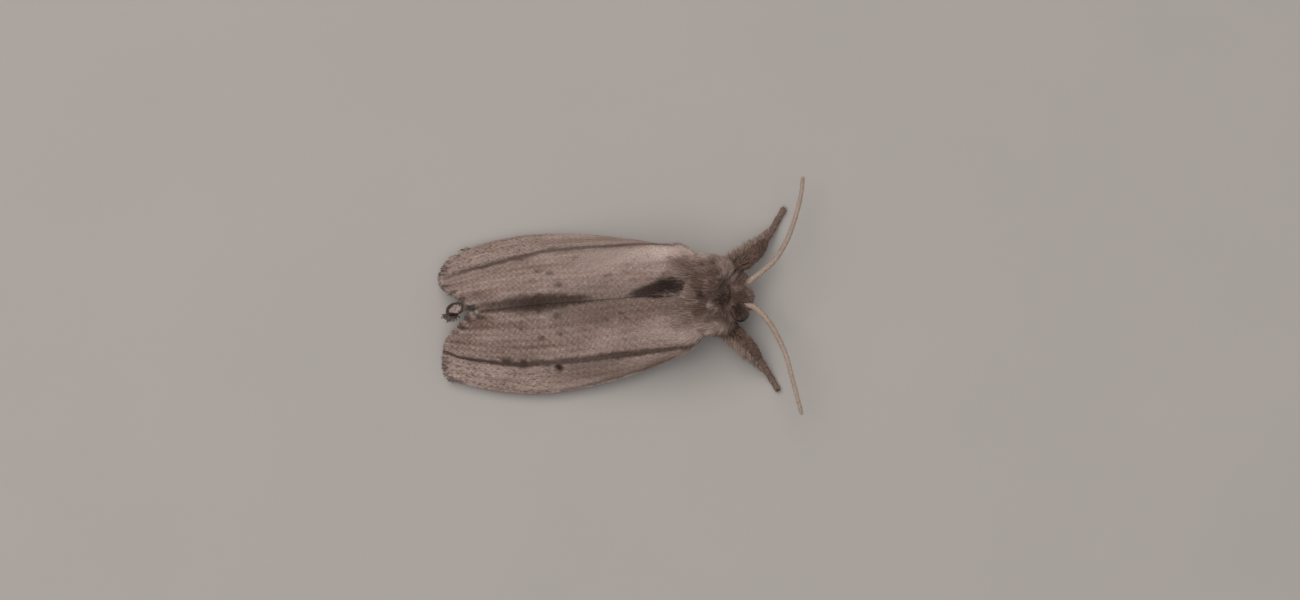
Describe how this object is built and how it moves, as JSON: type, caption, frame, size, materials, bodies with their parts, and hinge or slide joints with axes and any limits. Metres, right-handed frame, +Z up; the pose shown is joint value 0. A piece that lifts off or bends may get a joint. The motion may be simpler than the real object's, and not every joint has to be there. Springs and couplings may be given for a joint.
{
  "type": "resting moth",
  "caption": "Life-size resting moth with roof-folded streaked wings, hairy forelegs stretched forward and thread-like feelers.",
  "frame": {"origin": "on the floor, at the middle of the moth's outline seen from above", "axes": "+X points to the head, +Y to the moth's left side, +Z up from the floor"},
  "size_m": [0.0262, 0.017, 0.0057],
  "materials": {
    "thorax_hair": "soft grey-brown hair",
    "head_hair": "dark brown hair",
    "abdomen_hair": "pale brown hair",
    "wing_scales": "powdery overlapping scales, streaked dark brown",
    "hindwing_scales": "pale powdery scales",
    "leg_hair": "dark brown hair and scales",
    "antenna": "tan horn with fine scales",
    "eye": "glossy black, finely faceted"
  },
  "bodies": {
    "root": {"thorax": "thorax_hair", "head": "head_hair", "abdomen": "abdomen_hair", "forewing_left": "wing_scales", "forewing_right": "wing_scales", "hindwing_left": "hindwing_scales", "hindwing_right": "hindwing_scales", "eye_left": "eye", "eye_right": "eye", "palp_left": "head_hair", "palp_right": "head_hair", "antenna_left": "antenna", "antenna_right": "antenna", "foreleg_left": "leg_hair", "foreleg_right": "leg_hair", "midleg_left": "leg_hair", "midleg_right": "leg_hair", "hindleg_left": "leg_hair", "hindleg_right": "leg_hair"}
  },
  "joints": []
}
